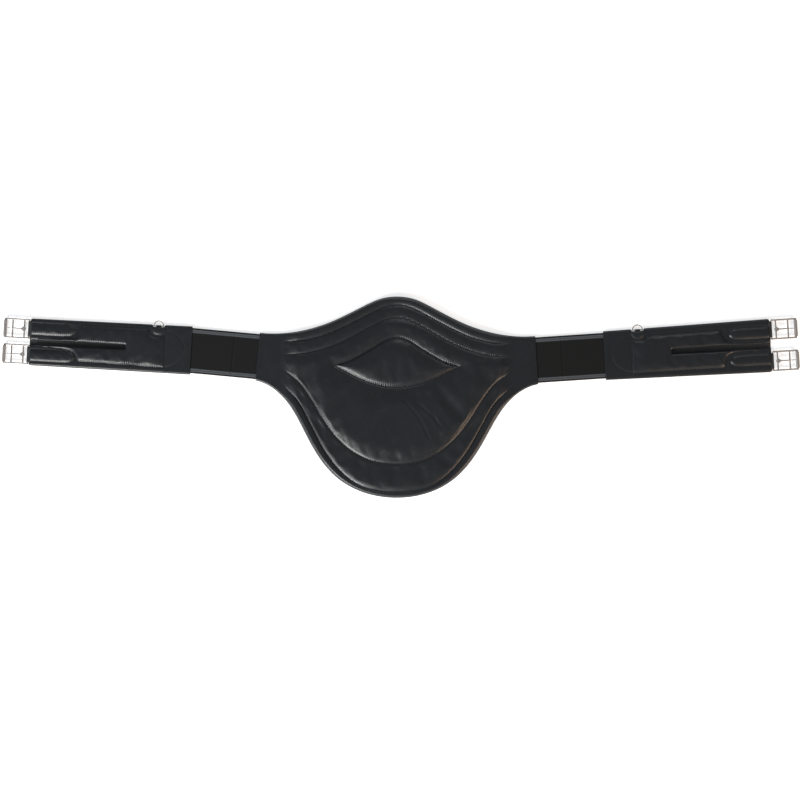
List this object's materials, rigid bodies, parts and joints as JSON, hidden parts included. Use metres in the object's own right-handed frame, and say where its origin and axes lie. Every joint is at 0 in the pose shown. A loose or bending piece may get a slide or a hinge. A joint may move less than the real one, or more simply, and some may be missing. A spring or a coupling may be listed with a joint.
{
  "type": "saddle girth",
  "caption": "Padded black leather belly-guard girth with elastic bands, split billet ends, roller buckles and dee rings.",
  "frame": {"origin": "on the ground under the middle of the girth as it lies flat, outer face up", "axes": "+X along the girth towards its right end, +Y towards the front edge that carries the dee rings, +Z away from the horse"},
  "size_m": [1.3006, 0.3265, 0.014],
  "materials": {
    "black_leather": "smooth black bridle leather with a low sheen",
    "lining_leather": "soft black lining leather",
    "padding": "dark grey cushioning felt",
    "webbing": "black woven load webbing",
    "elastic": "black woven elastic with grey ribbed edges",
    "stiffener_board": "firm moulded board",
    "buckle_steel": "polished stainless steel"
  },
  "bodies": {
    "belly_guard": {"guard_lining": "lining_leather", "guard_lining_foam": "padding", "guard_load_web": "webbing", "guard_stiffener": "stiffener_board", "guard_border_foam": "padding", "guard_centre_foam": "padding", "guard_eye_foam": "padding", "guard_cover": "black_leather", "left_elastic_root": "elastic", "right_elastic_root": "elastic"},
    "left_elastic": {"left_elastic_band": "elastic"},
    "left_arm": {"left_arm_lining": "lining_leather", "left_end_facing": "black_leather", "left_arm_cover": "black_leather", "left_arm_foam": "padding", "left_dee_tab": "black_leather", "left_upper_buckle_web": "webbing", "left_upper_finger_foam": "padding", "left_lower_buckle_web": "webbing", "left_lower_finger_foam": "padding"},
    "left_dee": {"left_dee_ring": "buckle_steel"},
    "left_upper_buckle": {"left_upper_buckle_frame": "buckle_steel"},
    "left_upper_roller": {"left_upper_buckle_roller": "buckle_steel"},
    "left_upper_tongue": {"left_upper_buckle_tongue": "buckle_steel"},
    "left_lower_buckle": {"left_lower_buckle_frame": "buckle_steel"},
    "left_lower_roller": {"left_lower_buckle_roller": "buckle_steel"},
    "left_lower_tongue": {"left_lower_buckle_tongue": "buckle_steel"},
    "right_elastic": {"right_elastic_band": "elastic"},
    "right_arm": {"right_arm_lining": "lining_leather", "right_end_facing": "black_leather", "right_arm_cover": "black_leather", "right_arm_foam": "padding", "right_dee_tab": "black_leather", "right_upper_buckle_web": "webbing", "right_upper_finger_foam": "padding", "right_lower_buckle_web": "webbing", "right_lower_finger_foam": "padding"},
    "right_dee": {"right_dee_ring": "buckle_steel"},
    "right_upper_buckle": {"right_upper_buckle_frame": "buckle_steel"},
    "right_upper_roller": {"right_upper_buckle_roller": "buckle_steel"},
    "right_upper_tongue": {"right_upper_buckle_tongue": "buckle_steel"},
    "right_lower_buckle": {"right_lower_buckle_frame": "buckle_steel"},
    "right_lower_roller": {"right_lower_buckle_roller": "buckle_steel"},
    "right_lower_tongue": {"right_lower_buckle_tongue": "buckle_steel"}
  },
  "joints": [
    {"name": "left_elastic_fold", "type": "hinge", "parent": "belly_guard", "child": "left_elastic", "pos_m": [-0.24654, 0.06477, 0.0023], "axis": [-0.0785, -0.9969, 0], "range_deg": [-60, 110]},
    {"name": "left_elastic_stretch", "type": "slide", "parent": "left_elastic", "child": "left_arm", "axis": [-0.9969, 0.0785, 0], "range_m": [0, 0.04], "stiffness_N_per_m": 2000, "deforming": ["left_elastic_band"]},
    {"name": "left_dee_swing", "type": "hinge", "parent": "left_arm", "child": "left_dee", "pos_m": [-0.39068, 0.11153, 0.003], "axis": [0.9992, -0.041, 0], "range_deg": [-80, 90]},
    {"name": "left_upper_buckle_swing", "type": "hinge", "parent": "left_arm", "child": "left_upper_buckle", "pos_m": [-0.60507, 0.10392, 0.0034], "axis": [0.041, 0.9992, 0], "range_deg": [-60, 60]},
    {"name": "left_upper_tongue_lift", "type": "hinge", "parent": "left_upper_buckle", "child": "left_upper_tongue", "pos_m": [-0.61296, 0.10424, 0.0034], "axis": [0.041, 0.9992, 0], "range_deg": [0, 110]},
    {"name": "left_upper_roller_spin", "type": "hinge", "parent": "left_upper_buckle", "child": "left_upper_roller", "pos_m": [-0.64474, 0.10554, 0.0034], "axis": [0.041, 0.9992, 0], "continuous": true},
    {"name": "left_lower_buckle_swing", "type": "hinge", "parent": "left_arm", "child": "left_lower_buckle", "pos_m": [-0.60679, 0.06195, 0.0034], "axis": [0.041, 0.9992, 0], "range_deg": [-60, 60]},
    {"name": "left_lower_tongue_lift", "type": "hinge", "parent": "left_lower_buckle", "child": "left_lower_tongue", "pos_m": [-0.61469, 0.06228, 0.0034], "axis": [0.041, 0.9992, 0], "range_deg": [0, 110]},
    {"name": "left_lower_roller_spin", "type": "hinge", "parent": "left_lower_buckle", "child": "left_lower_roller", "pos_m": [-0.64646, 0.06358, 0.0034], "axis": [0.041, 0.9992, 0], "continuous": true},
    {"name": "right_elastic_fold", "type": "hinge", "parent": "belly_guard", "child": "right_elastic", "pos_m": [0.24654, 0.06477, 0.0023], "axis": [-0.0785, 0.9969, 0], "range_deg": [-60, 110]},
    {"name": "right_elastic_stretch", "type": "slide", "parent": "right_elastic", "child": "right_arm", "axis": [0.9969, 0.0785, 0], "range_m": [0, 0.04], "stiffness_N_per_m": 2000, "deforming": ["right_elastic_band"]},
    {"name": "right_dee_swing", "type": "hinge", "parent": "right_arm", "child": "right_dee", "pos_m": [0.38927, 0.1142, 0.003], "axis": [0.9973, 0.0741, 0], "range_deg": [-80, 90]},
    {"name": "right_upper_buckle_swing", "type": "hinge", "parent": "right_arm", "child": "right_upper_buckle", "pos_m": [0.60353, 0.11727, 0.0034], "axis": [0.0741, -0.9973, 0], "range_deg": [-60, 60]},
    {"name": "right_upper_tongue_lift", "type": "hinge", "parent": "right_upper_buckle", "child": "right_upper_tongue", "pos_m": [0.61141, 0.11785, 0.0034], "axis": [0.0741, -0.9973, 0], "range_deg": [0, 110]},
    {"name": "right_upper_roller_spin", "type": "hinge", "parent": "right_upper_buckle", "child": "right_upper_roller", "pos_m": [0.64312, 0.12021, 0.0034], "axis": [0.0741, -0.9973, 0], "continuous": true},
    {"name": "right_lower_buckle_swing", "type": "hinge", "parent": "right_arm", "child": "right_lower_buckle", "pos_m": [0.60731, 0.06641, 0.0034], "axis": [0.0741, -0.9973, 0], "range_deg": [-60, 60]},
    {"name": "right_lower_tongue_lift", "type": "hinge", "parent": "right_lower_buckle", "child": "right_lower_tongue", "pos_m": [0.61519, 0.06699, 0.0034], "axis": [0.0741, -0.9973, 0], "range_deg": [0, 110]},
    {"name": "right_lower_roller_spin", "type": "hinge", "parent": "right_lower_buckle", "child": "right_lower_roller", "pos_m": [0.6469, 0.06935, 0.0034], "axis": [0.0741, -0.9973, 0], "continuous": true}
  ]
}
